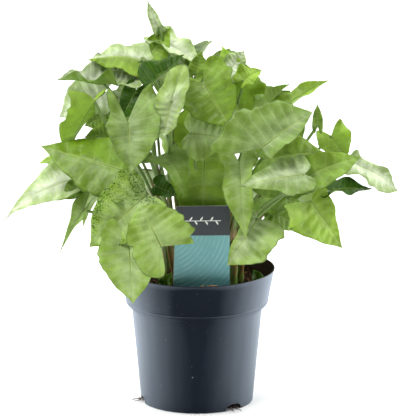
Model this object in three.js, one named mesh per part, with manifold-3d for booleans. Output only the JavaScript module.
// An arrowhead plant (Syngonium podophyllum) growing in a thin plastic nursery pot, with a stick-in
// plant label. Millimetres, +Z up. The origin is on the ground under the middle of the pot. The label
// faces -Y, and +X is to the right of someone who looks at the label.
//
// Pieces: the pot, the plug of peat in it, the label, two tufts of root that have grown out through
// the drain holes, and one piece for each leafy shoot. A shoot is a short stem that stands in a hole
// in the peat, with its leaf stalks and arrow-shaped blades grown on it.

import * as THREE from 'three';
import { mergeVertices } from 'three/addons/utils/BufferGeometryUtils.js';
import Module from 'manifold-3d';

const wasm = await Module();
wasm.setup();

// ---------------------------------------------------------------- driving dimensions

const CLEAR = 0.3; // gap left between pieces that rest on each other

const POT = {
  rimRadius: 60, // outside of the rim: a 12 cm pot
  height: 105,
  collarHeight: 27.5, // the wider band below the rim
  collarRadius: 54.4, // outside, at the bottom of the collar
  ledge: 4, // height of the slanted step under the collar
  bodyRadius: 50.2, // outside, just under the step
  footRadius: 43,
  wall: 1.2,
  lip: 1, // height of the rim's rounded edge
  footChamfer: 0.8,
  floorLow: 5, // the floor is raised above the foot ring
  floorThick: 1.5,
  sides: 36,
  holes: 6,
  holeRadius: 3.5,
  holeRing: 28, // radius of the ring of drain holes
  holeSides: 10,
  archWidth: 15, // gaps in the foot ring that let water out
  archHeight: 5,
  archShoulder: 2, // height at which an arch starts to round over
  archDepth: 10,
  archAngles: [-79, 41, 161], // degrees from the front, towards +X
};

const SOIL = {
  top: 95,
  rough: 1.7, // height of the lumps
  edgeDrop: 2, // the rounded edge of the peat
  rings: [0.97, 0.75, 0.5, 0.25], // of points that carry the lumps
  holeDepth: 14,
};

const LABEL = {
  x: 3.3,
  y: -43,
  lowWidth: 43.6,
  topWidth: 41,
  height: 68.5, // from the peat to the top edge
  thick: 0.8,
  corner: 2,
  shoulder: 8, // depth at which the card has narrowed to its stake
  stakeWidth: 16,
  stakeDepth: 42,
  pointWidth: 2,
  leanBack: 2, // degrees
  turn: 7, // degrees, right edge further back
  roll: 1.2, // degrees, top edge further right
};

const STEM = { radius: 3.2, sides: 6 };
const STALK = {
  radius: 1.3,
  sheath: 2, // radius where it leaves the stem
  sheathPart: 0.33, // how much of its length the sheath takes
  below: 3, // the first stalk starts this far below the stem's top
  spacing: 5, // each further stalk starts this much lower
  outward: 0.12, // the first bend, as parts of the straight distance to the blade
  upward: 0.4,
  arrive: 0.32,
  sides: 4,
  steps: 4,
};
const ROOT = {
  coreLow: 2.2,
  coreSides: 8,
  startHeight: 3.2,
  exitHeight: 2.2, // where a strand passes through the foot ring
  bend: 7, // distance of a strand's first bend from the hole's middle
  thick: 0.8,
  thin: 0.5,
  sides: 4,
  steps: 5,
};

// Each blade is an arrowhead. Lengths along it are parts of its length from stalk to tip, and
// lengths across it are parts of its half width.
const BLADE = {
  thick: 0.8,
  shoulder: 2.1, // a higher power holds the blade's full width further towards the tip
  taper: 1.1,
  lean: 0.35, // side veins run forward from the midrib to the margin
  cleft: 0.6, // how the gap between the lobes opens
  waves: 9, // radians of the margin's wave from stalk to tip
  otherSide: 2.3, // by which the left margin's wave is ahead of the right one's
  nextLeaf: 1.7, // and each leaf's of the one before it
  lobeRows: 2,
  rows: 5,
  shortRows: 3, // on blades shorter than shortLength
  shortLength: 40,
  columns: 2,
  shortColumns: 1,
};

const COLOUR = {
  pot: 0x2b323b,
  soil: 0x2e2018,
  label: 0x5f9199,
  root: 0x2a221c,
  leaf: 0x9cc464,
};

// ---------------------------------------------------------------- leaves, shoot by shoot
//
// at: where the stalk meets the blade. tip: the blade's point. face: which way the upper side
// looks. width: across the widest part. droop: degrees that the midrib bends from end to end.
// fold: degrees that each half is raised from flat. curl: further bend from midrib to margin.
// wave: height of the margin's waves. left, right: share of each half's full width. lobe: reach of
// the lobes behind the stalk. spread: how far apart they are. rise: slope of the stalk's end, in
// degrees. via: a point that the stalk bends towards on its way.

const LEAF_DEFAULTS = {
  droop: 15,
  fold: 12,
  curl: 14,
  wave: 3,
  rise: 45,
  left: 1,
  right: 1,
  lobe: 0.42,
  spread: 0.5,
  shoulder: BLADE.shoulder,
  taper: BLADE.taper,
};

/** One leaf. Its right lobe is like its left one unless it is given. */
function leaf(at, tip, face, width, extra = {}) {
  const form = { ...LEAF_DEFAULTS, ...extra };
  const rightLobe = form.rightLobe ?? form.lobe;
  const rightSpread = form.rightSpread ?? form.spread;
  return { at, tip, face, width, ...form, rightLobe, rightSpread };
}

const SHOOTS = [
  {
    name: 'shoot_far_left', x: -27, y: -6, height: 30,
    leaves: [
      leaf([-86, -25, 183], [-149, -10, 143], [-0.25, -0.65, 0.7], 42, {
        droop: 55, shoulder: 2, taper: 2, wave: 5,
      }),
      leaf([-86, -40, 160], [-106, -35, 123], [-0.6, -0.7, 0.2], 17, {
        fold: 35, lobe: 0.5, spread: 0.9, shoulder: 1.4, taper: 2.2, rise: 20,
      }),
      leaf([-86, -38, 181], [-103, -32, 166], [-0.1, -0.8, 0.5], 18),
      leaf([-100, -5, 192], [-121, 0, 187], [-0.1, -0.5, 0.9], 22),
      leaf([-78, -45, 247], [-101, -27, 199], [-0.6, 0.5, 0.6], 42, { lobe: 0.1, rise: 60 }),
    ],
  },
  {
    name: 'shoot_left_front', x: -26, y: -30, height: 28,
    leaves: [
      leaf([-50, -62, 194], [-119, -40, 210], [0.1, -0.75, 0.65], 56, {
        droop: 10, fold: -8, lobe: 0.08, rightLobe: 0.03,
      }),
      leaf([-38, -77, 181], [-81, -80, 141], [-0.1, -0.9, 0.35], 53, { lobe: 0.1, shoulder: 2.7 }),
      leaf([-51, -88, 146], [-48, -92, 100], [-0.1, -0.9, 0.4], 48, { droop: 20, rise: 20 }),
      leaf([-27, -108, 149], [-43, -98, 178], [0, -0.9, 0.4], 46, {
        right: 1.2, droop: 40, lobe: 0.6, spread: 0.35, rightLobe: 0.2, rightSpread: 1, shoulder: 2.4,
        taper: 0.8, wave: 4,
      }),
    ],
  },
  {
    name: 'shoot_left', x: -17, y: 4, height: 34,
    leaves: [
      leaf([-71, -19, 254], [-107, -16, 256], [0, -0.2, 1], 36, { fold: 35, lobe: 0.35, wave: 7 }),
      leaf([-71, -4, 244], [-106, 5, 222], [-0.2, -0.8, 0.6], 42, { rise: 60 }),
      leaf([-69, 2, 225], [-86, 6, 215], [0, -0.8, 0.5], 22, { rise: 60 }),
      leaf([-50, -20, 262], [-75, -10, 262], [0, -0.7, 0.6], 32, { rise: 60 }),
      leaf([-65, -19, 215], [-86, -19, 212], [0, -0.7, 0.7], 22, { rise: 60 }),
      leaf([-44, -20, 272], [-83, -12, 270], [0, -0.62, 0.78], 42, {
        left: 0.6, droop: 50, fold: -22, lobe: 0.3, rise: 60, wave: 4,
      }),
      leaf([-47, -26, 249], [-58, -30, 228], [0.3, -0.8, 0.4], 22, { rise: 60 }),
    ],
  },
  {
    name: 'shoot_top', x: -7, y: 15, height: 36,
    leaves: [
      leaf([-29, 6, 292], [-38, 9, 313], [-0.3, -0.8, 0.4], 10, { droop: 60, taper: 1.3, rise: 70 }),
      leaf([-24, 12, 279], [3, -6, 265], [0.4, -0.5, 0.7], 28, { rise: 70 }),
      leaf([-35, -46, 257], [-9, -55, 284], [-0.5, -0.5, 0.7], 30, { fold: 30, lobe: 0.1, rise: 50 }),
      leaf([-1, -22, 263], [4, -22, 280], [0, -0.8, 0.5], 14, { rise: 60 }),
      leaf([-38, 8, 268], [-20, 9, 292], [-0.2, -0.9, 0.4], 32, { left: 0.7, lobe: 0.1, rise: 60 }),
    ],
  },
  {
    name: 'shoot_front_left', x: -14, y: -22, height: 28,
    leaves: [
      leaf([-52, -74, 236], [-49, -88, 200], [0, -0.95, 0.3], 52, {
        right: 0.6, lobe: 0.7, spread: 0.75, rightLobe: 0.7, rightSpread: 0.9,
      }),
      leaf([-19, -75, 253], [-25, -84, 227], [-0.3, -0.9, 0.1], 25, {
        lobe: 1.1, spread: 0, shoulder: 2.4, taper: 0.8, rise: 80, via: [-28, -26, 205],
      }),
      leaf([-29, -51, 204], [-10, -75, 178], [0.2, -0.5, 0.9], 32, { droop: 110, lobe: 0.1, rise: 60 }),
      leaf([-31, -54, 182], [-15, -50, 174], [0.1, -0.8, 0.6], 18, { lobe: 0.2, rise: 40 }),
    ],
  },
  {
    name: 'shoot_middle', x: 4, y: -11, height: 34,
    leaves: [
      leaf([6, -29, 207], [4, -30, 138], [0, -0.95, 0.3], 50, {
        fold: -6, shoulder: 3, taper: 0.9, rise: 50, wave: 1,
      }),
      leaf([-5, -48, 222], [29, -52, 218], [0, -0.85, 0.5], 42, { fold: -25, lobe: 0.2, rise: 50 }),
      leaf([5, -42, 259], [26, -58, 228], [-0.3, -0.8, 0.5], 52, { lobe: 0.35, rise: 60 }),
    ],
  },
  {
    name: 'shoot_top_right', x: 13, y: 7, height: 34,
    leaves: [
      leaf([33, -27, 234], [19, -9, 281], [0.2, -0.8, 0.4], 46, { lobe: 0.2, rise: 50 }),
      leaf([25, -20, 264], [36, -8, 277], [0.2, -0.7, 0.6], 20, { rise: 60 }),
      leaf([36, -34, 260], [49, -26, 266], [0, -0.6, 0.8], 19, { rise: 60 }),
      leaf([52, -48, 245], [70, -40, 258], [0, 0.3, 0.9], 22, { fold: 35, rise: 50 }),
      leaf([20, 12, 156], [35, 12, 128], [0, -0.9, 0.3], 20, { lobe: 0.2, rise: 70 }),
    ],
  },
  {
    name: 'shoot_right_front', x: 21, y: -17, height: 30,
    leaves: [
      leaf([49, -92, 221], [87, -73, 244], [-0.1, -0.8, 0.6], 56, {
        left: 1.12, right: 0.5, lobe: 0.63, spread: 0.7, rightLobe: 0.05, taper: 0.9,
      }),
      leaf([51, -66, 206], [98, -52, 207], [0, -0.8, 0.6], 40, { droop: 40, lobe: 0.2, wave: 4 }),
      leaf([102, -32, 216], [113, -32, 196], [0.1, -0.9, 0.3], 27, {
        lobe: 0.35, spread: 0.9, rightLobe: 0.4, rightSpread: 0.6, wave: 4, rise: 50,
      }),
      leaf([91, -50, 229], [91, -45, 244], [0, -0.8, 0.4], 9, { rise: 60, via: [56, -6, 195] }),
      leaf([71, -40, 243], [100, -26, 258], [0, -0.3, 0.9], 20, { fold: 25, rise: 60 }),
    ],
  },
  {
    name: 'shoot_front_right', x: 28, y: -27, height: 26,
    leaves: [
      leaf([80, -98, 202], [31, -104, 194], [0, -0.65, 0.75], 40, { left: 0.75, fold: -15, lobe: 0.15 }),
      leaf([77, -86, 195], [124, -70, 209], [0, -0.75, 0.65], 40, { left: 0.75, droop: 30, lobe: 0.2 }),
      leaf([32, -79, 206], [37, -94, 150], [-0.3, -0.9, 0.1], 28, {
        lobe: 0.35, spread: 0.8, rightLobe: 0.2, wave: 6,
      }),
      leaf([45, -80, 163], [23, -87, 129], [0.1, -0.9, 0.4], 48, {
        right: 0.35, lobe: 0.12, spread: 0.6, shoulder: 3.2, taper: 0.9, wave: 4, rise: 20,
      }),
    ],
  },
  {
    name: 'shoot_right', x: 33, y: -9, height: 28,
    leaves: [
      leaf([119, -45, 198], [153, -30, 172], [0.3, -0.7, 0.6], 30, {
        left: 0.55, droop: 40, lobe: 0.1, rightLobe: 0.2, shoulder: 3.6, wave: 5,
      }),
      leaf([104, -60, 181], [133, -50, 179], [0, -0.3, 0.9], 22, { rise: 5 }),
      leaf([86, -70, 174], [110, -60, 135], [0.3, -0.9, 0.3], 58, {
        left: 0.5, lobe: 0.15, spread: 0.9, rightLobe: 0.3, rightSpread: 0.95, shoulder: 1.3,
        taper: 1, rise: 20,
      }),
      leaf([57, -41, 160], [79, -35, 143], [0.2, -0.8, 0.5], 26, { lobe: 0.15 }),
      leaf([50, -34, 169], [80, -25, 162], [0, -0.8, 0.4], 34),
    ],
  },
];

// The back of the plant: leaves that hang outwards, each placed by its turn from straight back
// (towards +X), its distance out from the middle, and the height of its stalk's end.
const BACK_SHOOTS = [
  {
    name: 'shoot_back_right', x: 25, y: 21, height: 30,
    leaves: [
      { turn: 76, out: 62, z: 200 },
      { turn: 56, out: 60, z: 232 },
      { turn: 62, out: 66, z: 168 },
      { turn: 33, out: 80, z: 205 },
      { turn: 28, out: 64, z: 160 },
    ],
  },
  {
    name: 'shoot_back', x: 1, y: 33, height: 32,
    leaves: [
      { turn: 12, out: 44, z: 256 },
      { turn: 2, out: 70, z: 232 },
      { turn: -4, out: 86, z: 188 },
      { turn: 4, out: 62, z: 148 },
      { turn: -17, out: 45, z: 261 },
    ],
  },
  {
    name: 'shoot_back_left', x: -24, y: 22, height: 30,
    leaves: [
      { turn: -62, out: 66, z: 196 },
      { turn: -54, out: 60, z: 238 },
      { turn: -58, out: 68, z: 170 },
      { turn: -30, out: 80, z: 206 },
      { turn: -28, out: 64, z: 160 },
    ],
  },
];
const BACK = { length: 62, width: 50, droop: 30, outward: 0.6, down: 0.75 };

// ---------------------------------------------------------------- small helpers

const rad = THREE.MathUtils.degToRad;
const vec = (x, y, z) => new THREE.Vector3(x, y, z);
const mix = THREE.MathUtils.lerp;

/** A closed three.js geometry as a solid that can be joined and cut. */
function toSolid(geometry) {
  const bare = geometry.clone();
  bare.deleteAttribute('normal');
  bare.deleteAttribute('uv');
  const merged = mergeVertices(bare, 1e-4);
  return new wasm.Manifold(new wasm.Mesh({
    numProp: 3,
    vertProperties: new Float32Array(merged.attributes.position.array),
    triVerts: new Uint32Array(merged.index.array),
  }));
}

function toGeometry(solid) {
  const mesh = solid.getMesh();
  const geometry = new THREE.BufferGeometry();
  geometry.setAttribute('position', new THREE.BufferAttribute(mesh.vertProperties, 3));
  geometry.setIndex(new THREE.BufferAttribute(mesh.triVerts, 1));
  geometry.computeVertexNormals();
  return geometry;
}

function joinAll(solids) {
  return solids.reduce((whole, solid) => whole.add(solid));
}

/** A solid whose sealed hollows, which have a negative volume of their own, are filled. */
function filled(solid) {
  return joinAll(solid.decompose().filter((body) => body.volume() > 0));
}

/** An upright cylinder between two heights. */
function post(x, y, low, high, radius, sides) {
  const geometry = new THREE.CylinderGeometry(radius, radius, high - low, sides);
  geometry.rotateX(Math.PI / 2);
  geometry.translate(x, y, (low + high) / 2);
  return toSolid(geometry);
}

/** A turned shape round the upright axis, from points of radius and height. */
function turned(profile, sides) {
  const points = profile.map(([radius, height]) => new THREE.Vector2(radius, height));
  const geometry = new THREE.LatheGeometry(points, sides);
  geometry.rotateX(Math.PI / 2);
  return geometry;
}

function named(name, geometry, colour, roughness) {
  const material = new THREE.MeshStandardMaterial({ color: colour, roughness, metalness: 0 });
  const mesh = new THREE.Mesh(geometry, material);
  mesh.name = name;
  return mesh;
}

// ---------------------------------------------------------------- pot

const ledgeTop = POT.height - POT.collarHeight;
const ledgeLow = ledgeTop - POT.ledge;
const floorTop = POT.floorLow + POT.floorThick;
const footInner = POT.footRadius - 2 * POT.wall;

/** Inside radii of the pot. The wall's inner face turns one millimetre above its outer face. */
const INNER = {
  rim: POT.rimRadius - POT.wall,
  ledgeTop: POT.collarRadius - POT.wall,
  ledgeLow: POT.bodyRadius - POT.wall,
  floor: POT.footRadius - POT.wall,
};
const innerStep = 1;

function potSolid() {
  const shell = toSolid(turned([
    [0, POT.floorLow],
    [footInner, POT.floorLow],
    [footInner + POT.footChamfer / 2, 0],
    [POT.footRadius - POT.footChamfer, 0],
    [POT.footRadius, POT.footChamfer],
    [POT.bodyRadius, ledgeLow],
    [POT.collarRadius, ledgeTop],
    [POT.rimRadius - POT.lip / 2, POT.height - POT.lip],
    [POT.rimRadius, POT.height],
    [INNER.rim, POT.height],
    [INNER.ledgeTop, ledgeTop + innerStep],
    [INNER.ledgeLow, ledgeLow + innerStep],
    [INNER.floor, floorTop + innerStep],
    [INNER.floor - innerStep, floorTop],
    [0, floorTop],
  ], POT.sides));
  const cuts = [];
  for (let i = 0; i < POT.holes; i += 1) {
    const angle = rad(POT.archAngles[0] + (i * 360) / POT.holes);
    const x = POT.holeRing * Math.sin(angle);
    const y = -POT.holeRing * Math.cos(angle);
    cuts.push(post(x, y, POT.floorLow - 1, floorTop + 1, POT.holeRadius, POT.holeSides));
  }
  for (const degrees of POT.archAngles) cuts.push(archSolid(degrees));
  return shell.subtract(joinAll(cuts));
}

/** The round-topped gap in the foot ring, at an angle from the front. */
function archSolid(degrees) {
  const half = POT.archWidth / 2;
  const round = 0.8 * half;
  const outline = new THREE.Shape();
  outline.moveTo(-half, -1);
  outline.lineTo(half, -1);
  outline.lineTo(half, POT.archShoulder);
  outline.quadraticCurveTo(round, POT.archHeight, 0, POT.archHeight);
  outline.quadraticCurveTo(-round, POT.archHeight, -half, POT.archShoulder);
  const depth = POT.archDepth;
  const geometry = new THREE.ExtrudeGeometry(outline, { depth, bevelEnabled: false, curveSegments: 4 });
  geometry.rotateX(Math.PI / 2);
  geometry.translate(0, -POT.footRadius + depth / 2, 0);
  geometry.rotateZ(rad(degrees));
  return toSolid(geometry);
}

// ---------------------------------------------------------------- peat

/** Height of the uneven top of the peat. */
function peatTop(x, y) {
  const broad = Math.sin(0.16 * x + 0.7) * Math.cos(0.13 * y - 0.4);
  const fine = 0.5 * Math.sin(0.42 * x - 0.31 * y) * Math.cos(0.37 * y + 1.1);
  return SOIL.top + SOIL.rough * (broad + fine);
}

function peatSolid(stems) {
  const collarLow = ledgeTop + innerStep;
  const edge = SOIL.top - SOIL.edgeDrop;
  const edgeRadius = mix(INNER.ledgeTop, INNER.rim, (edge - collarLow) / (POT.height - collarLow));
  const rings = SOIL.rings.map((part) => [part * edgeRadius, SOIL.top]);
  const geometry = turned([
    [0, floorTop + CLEAR],
    [INNER.floor - innerStep - CLEAR, floorTop + CLEAR],
    [INNER.floor - CLEAR, floorTop + innerStep + CLEAR],
    [INNER.ledgeLow - CLEAR, ledgeLow + innerStep + CLEAR],
    [INNER.ledgeTop - CLEAR, collarLow + CLEAR],
    [edgeRadius - CLEAR, edge],
    ...rings,
    [0, SOIL.top],
  ], POT.sides / 2);
  const position = geometry.attributes.position;
  for (let i = 0; i < position.count; i += 1) {
    if (position.getZ(i) > edge + SOIL.edgeDrop / 2) {
      position.setZ(i, peatTop(position.getX(i), position.getY(i)));
    }
  }
  const above = SOIL.top + 3 * SOIL.rough;
  const cuts = stems.map(({ x, y }) => (
    post(x, y, SOIL.top - SOIL.holeDepth, above, STEM.radius + CLEAR, STEM.sides)
  ));
  cuts.push(toSolid(placeLabel(labelGeometry(CLEAR))));
  return toSolid(geometry).subtract(joinAll(cuts));
}

// ---------------------------------------------------------------- label

/** The card and its stake, grown on all sides by a margin. The peat is at height 0. */
function labelGeometry(margin) {
  const low = LABEL.lowWidth / 2 + margin;
  const top = LABEL.topWidth / 2 + margin;
  const stake = LABEL.stakeWidth / 2 + margin;
  const tip = LABEL.pointWidth / 2 + margin;
  const high = LABEL.height + margin;
  const point = -LABEL.stakeDepth - margin;
  const corner = LABEL.corner;
  const outline = new THREE.Shape();
  outline.moveTo(-tip, point);
  outline.lineTo(tip, point);
  outline.lineTo(stake, point + LABEL.stakeWidth);
  outline.lineTo(stake, -LABEL.shoulder - margin);
  outline.lineTo(low, -margin);
  outline.lineTo(top, high - corner);
  outline.quadraticCurveTo(top, high, top - corner, high);
  outline.lineTo(-top + corner, high);
  outline.quadraticCurveTo(-top, high, -top, high - corner);
  outline.lineTo(-low, -margin);
  outline.lineTo(-stake, -LABEL.shoulder - margin);
  outline.lineTo(-stake, point + LABEL.stakeWidth);
  const depth = LABEL.thick + 2 * margin;
  const geometry = new THREE.ExtrudeGeometry(outline, { depth, bevelEnabled: false, curveSegments: 3 });
  geometry.translate(0, 0, -depth / 2);
  return geometry;
}

function placeLabel(geometry) {
  geometry.rotateZ(-rad(LABEL.roll));
  geometry.rotateX(Math.PI / 2 - rad(LABEL.leanBack));
  geometry.rotateZ(rad(LABEL.turn));
  geometry.translate(LABEL.x, LABEL.y, SOIL.top);
  return geometry;
}

// ---------------------------------------------------------------- tubes: stalks and roots

/** A round rod along a curve, its radius given at each part of its length. */
function rod(curve, radiusAt, sides, steps) {
  const frames = curve.computeFrenetFrames(steps, false);
  const rings = [];
  for (let i = 0; i <= steps; i += 1) {
    const centre = curve.getPointAt(i / steps);
    const ring = [];
    for (let k = 0; k < sides; k += 1) {
      const turn = (k / sides) * 2 * Math.PI;
      const out = frames.normals[i].clone().multiplyScalar(Math.cos(turn));
      out.addScaledVector(frames.binormals[i], Math.sin(turn));
      ring.push(centre.clone().addScaledVector(out, radiusAt(i / steps)));
    }
    rings.push(ring);
  }
  const first = rings.length * sides;
  const points = rings.flat().concat([curve.getPointAt(0), curve.getPointAt(1)]);
  const faces = [];
  for (let i = 0; i < steps; i += 1) {
    for (let k = 0; k < sides; k += 1) {
      const a = i * sides + k;
      const b = i * sides + ((k + 1) % sides);
      faces.push([a, b, b + sides], [a, b + sides, a + sides]);
    }
  }
  for (let k = 0; k < sides; k += 1) {
    const next = (k + 1) % sides;
    faces.push([first, next, k]);
    faces.push([first + 1, steps * sides + k, steps * sides + next]);
  }
  return facesToSolid(points, faces);
}

function facesToSolid(points, faces) {
  const geometry = new THREE.BufferGeometry();
  const numbers = points.flatMap((point) => point.toArray());
  geometry.setAttribute('position', new THREE.Float32BufferAttribute(numbers, 3));
  geometry.setIndex(faces.flat());
  return toSolid(geometry);
}

/** Roots that fill a drain hole and straggle out through the gap in the foot ring. */
function rootTuft(degrees, strands) {
  const start = POT.holeRing;
  const core = POT.holeRadius - 2 * CLEAR;
  const solids = [post(0, -start, ROOT.coreLow, floorTop, core, ROOT.coreSides)];
  for (const { side, reach, low } of strands) {
    const curve = new THREE.CatmullRomCurve3([
      vec(0, -start, ROOT.startHeight),
      vec(side * 0.4, -start - ROOT.bend, ROOT.startHeight),
      vec(side * 0.7, -POT.footRadius, ROOT.exitHeight),
      vec(side, -POT.footRadius - reach, low),
    ]);
    solids.push(rod(curve, (t) => mix(ROOT.thick, ROOT.thin, t), ROOT.sides, ROOT.steps));
  }
  const geometry = toGeometry(joinAll(solids));
  geometry.rotateZ(rad(degrees));
  return geometry;
}

// ---------------------------------------------------------------- blades

const isShort = (length) => length < BLADE.shortLength;
const halfWidth = (form, side) => (form.width / 2) * (side > 0 ? form.right : form.left);

/** Flat points of one half of a blade, row by row from the lobe's end to the tip. */
function halfBlade(length, form, side) {
  const half = halfWidth(form, side);
  const lobe = side > 0 ? form.rightLobe : form.lobe;
  const lobeX = half * (side > 0 ? form.rightSpread : form.spread);
  const rows = [];
  for (let i = 0; i < BLADE.lobeRows; i += 1) {
    const part = i / BLADE.lobeRows;
    const turn = (part * Math.PI) / 2;
    const inner = [lobeX * (1 - part ** BLADE.cleft), -lobe * (1 - part) * length];
    const outer = [mix(lobeX, half, Math.sin(turn)), -lobe * Math.cos(turn) * length];
    rows.push({ inner, outer });
  }
  const steps = isShort(length) ? BLADE.shortRows : BLADE.rows;
  for (let i = 0; i <= steps; i += 1) {
    const at = i / steps;
    const out = at + BLADE.lean * at * (1 - at);
    const reach = half * ((1 - out ** form.shoulder) ** form.taper);
    rows.push({ inner: [0, at * length], outer: [reach, out * length] });
  }
  return rows;
}

/** The blade's own frame: along the midrib, across it, and out of its upper side. */
function bladeFrame(form) {
  const start = vec(...form.at);
  const along = vec(...form.tip).sub(start);
  const chord = along.length();
  along.normalize();
  const up = vec(...form.face);
  up.addScaledVector(along, -up.dot(along)).normalize();
  const across = along.clone().cross(up);
  return { start, along, up, across, chord };
}

/** Bends a flat point of the blade to its place on the plant. */
function bladePoint(x, y, form, frame) {
  const bend = rad(form.droop || 1);
  const length = (frame.chord * bend) / 2 / Math.sin(bend / 2);
  const slope = bend / 2 - (bend * y) / length;
  const centreAlong = (length / bend) * (Math.sin(bend / 2) - Math.sin(slope));
  const centreUp = (length / bend) * (Math.cos(slope) - Math.cos(bend / 2));
  const half = halfWidth(form, x);
  const part = Math.abs(x) / half;
  const fold = rad(form.fold);
  const curl = rad(form.curl || 1);
  const across = (half / curl) * (Math.sin(fold + curl * part) - Math.sin(fold));
  const raised = (half / curl) * (Math.cos(fold) - Math.cos(fold + curl * part));
  const phase = x > 0 ? form.phase : form.phase + BLADE.otherSide;
  const wave = form.wave * part * part * Math.sin((BLADE.waves * y) / length + phase);
  const out = raised + wave;
  return frame.start.clone()
    .addScaledVector(frame.along, centreAlong - out * Math.sin(slope))
    .addScaledVector(frame.up, centreUp + out * Math.cos(slope))
    .addScaledVector(frame.across, Math.sign(x) * across);
}

/** The blade as a thin closed body. */
function bladeSolid(form) {
  const frame = bladeFrame(form);
  const bend = rad(form.droop || 1);
  const length = (frame.chord * bend) / 2 / Math.sin(bend / 2);
  const columns = isShort(length) ? BLADE.shortColumns : BLADE.columns;
  const points = [];
  const known = new Map();
  const vertex = (x, y) => {
    const key = `${x.toFixed(4)},${y.toFixed(4)}`;
    if (!known.has(key)) {
      known.set(key, points.length);
      points.push(bladePoint(x, y, form, frame));
    }
    return known.get(key);
  };
  const faces = [];
  for (const side of [1, -1]) {
    const grid = halfBlade(length, form, side).map(({ inner, outer }) => {
      const line = [];
      for (let k = 0; k <= columns; k += 1) {
        const part = k / columns;
        line.push(vertex(side * mix(inner[0], outer[0], part), mix(inner[1], outer[1], part)));
      }
      return line;
    });
    for (let i = 0; i + 1 < grid.length; i += 1) {
      for (let k = 0; k < columns; k += 1) {
        const [a, b, c, d] = [grid[i][k], grid[i][k + 1], grid[i + 1][k + 1], grid[i + 1][k]];
        for (const face of [[a, b, c], [a, c, d]]) {
          if (new Set(face).size === 3) faces.push(side > 0 ? face : face.reverse());
        }
      }
    }
  }
  return thicken(points, faces, BLADE.thick);
}

/** Gives a sheet of triangles an upper face, a lower face split alike, and a rim. */
function thicken(points, faces, thick) {
  const normals = points.map(() => vec(0, 0, 0));
  for (const [a, b, c] of faces) {
    const edge = points[b].clone().sub(points[a]);
    const normal = edge.cross(points[c].clone().sub(points[a]));
    for (const i of [a, b, c]) normals[i].add(normal);
  }
  const shift = (i, sign) => {
    return points[i].clone().addScaledVector(normals[i].normalize(), (sign * thick) / 2);
  };
  const upper = points.map((_, i) => shift(i, 1));
  const lower = points.map((_, i) => shift(i, -1));
  const count = points.length;
  const all = [];
  const edges = new Set(faces.flatMap(([a, b, c]) => [`${a},${b}`, `${b},${c}`, `${c},${a}`]));
  for (const [a, b, c] of faces) {
    all.push([a, b, c], [a + count, c + count, b + count]);
    for (const [from, to] of [[a, b], [b, c], [c, a]]) {
      if (!edges.has(`${to},${from}`)) {
        all.push([to, from, from + count], [to, from + count, to + count]);
      }
    }
  }
  return facesToSolid(upper.concat(lower), all);
}

// ---------------------------------------------------------------- shoots

/** The leaf stalk: up from the stem, then over to the blade. */
function stalkSolid(shoot, form, order) {
  const drop = STALK.below + STALK.spacing * order;
  const start = vec(shoot.x, shoot.y, SOIL.top + shoot.height - drop);
  const end = vec(...form.at);
  const reach = start.distanceTo(end);
  const away = vec(end.x - start.x, end.y - start.y, 0).normalize();
  const rise = rad(form.rise);
  const arrive = away.clone().multiplyScalar(Math.cos(rise)).add(vec(0, 0, Math.sin(rise)));
  const upward = vec(0, 0, STALK.upward * reach);
  const bend = start.clone().addScaledVector(away, STALK.outward * reach).add(upward);
  const first = form.via ? vec(...form.via) : bend;
  const last = end.clone().addScaledVector(arrive, -STALK.arrive * reach);
  const curve = new THREE.CubicBezierCurve3(start, first, last, end);
  const radiusAt = (t) => mix(STALK.sheath, STALK.radius, Math.min(1, t / STALK.sheathPart));
  return rod(curve, radiusAt, STALK.sides, STALK.steps);
}

function shootSolid(shoot) {
  const low = SOIL.top - SOIL.holeDepth + CLEAR;
  const solids = [post(shoot.x, shoot.y, low, SOIL.top + shoot.height, STEM.radius, STEM.sides)];
  shoot.leaves.forEach((given, order) => {
    const shaped = { ...given, phase: BLADE.nextLeaf * order };
    solids.push(stalkSolid(shoot, shaped, order));
    solids.push(bladeSolid(shaped));
  });
  return filled(joinAll(solids));
}

/** A leaf of the back, from its turn, distance out and height. */
function backLeaf({ turn, out, z }) {
  const outward = vec(Math.sin(rad(turn)), Math.cos(rad(turn)), 0);
  const up = vec(0, 0, 1);
  const at = outward.clone().multiplyScalar(out).setZ(z);
  const tip = at.clone().addScaledVector(outward, BACK.outward * BACK.length);
  tip.addScaledVector(up, -BACK.down * BACK.length);
  const face = outward.clone().multiplyScalar(BACK.down).addScaledVector(up, BACK.outward);
  return leaf(at.toArray(), tip.toArray(), face.toArray(), BACK.width, { droop: BACK.droop });
}

// ---------------------------------------------------------------- the plant in its pot

const backShoots = BACK_SHOOTS.map((shoot) => ({ ...shoot, leaves: shoot.leaves.map(backLeaf) }));
const shoots = SHOOTS.concat(backShoots);

const group = new THREE.Group();
group.add(named('pot', toGeometry(potSolid()), COLOUR.pot, 0.45));
group.add(named('peat', toGeometry(peatSolid(shoots)), COLOUR.soil, 1));
group.add(named('label', placeLabel(labelGeometry(0)), COLOUR.label, 0.4));
group.add(named('roots_right', rootTuft(POT.archAngles[1], [
  { side: -5, reach: 6, low: 1.2 },
  { side: 0, reach: 9, low: 1.5 },
  { side: 5, reach: 5, low: 2.5 },
]), COLOUR.root, 1));
group.add(named('roots_left', rootTuft(POT.archAngles[0], [
  { side: -3, reach: 7, low: 1.5 },
  { side: 4, reach: 6, low: 2 },
]), COLOUR.root, 1));
for (const shoot of shoots) {
  group.add(named(shoot.name, toGeometry(shootSolid(shoot)), COLOUR.leaf, 0.5));
}

export default group;
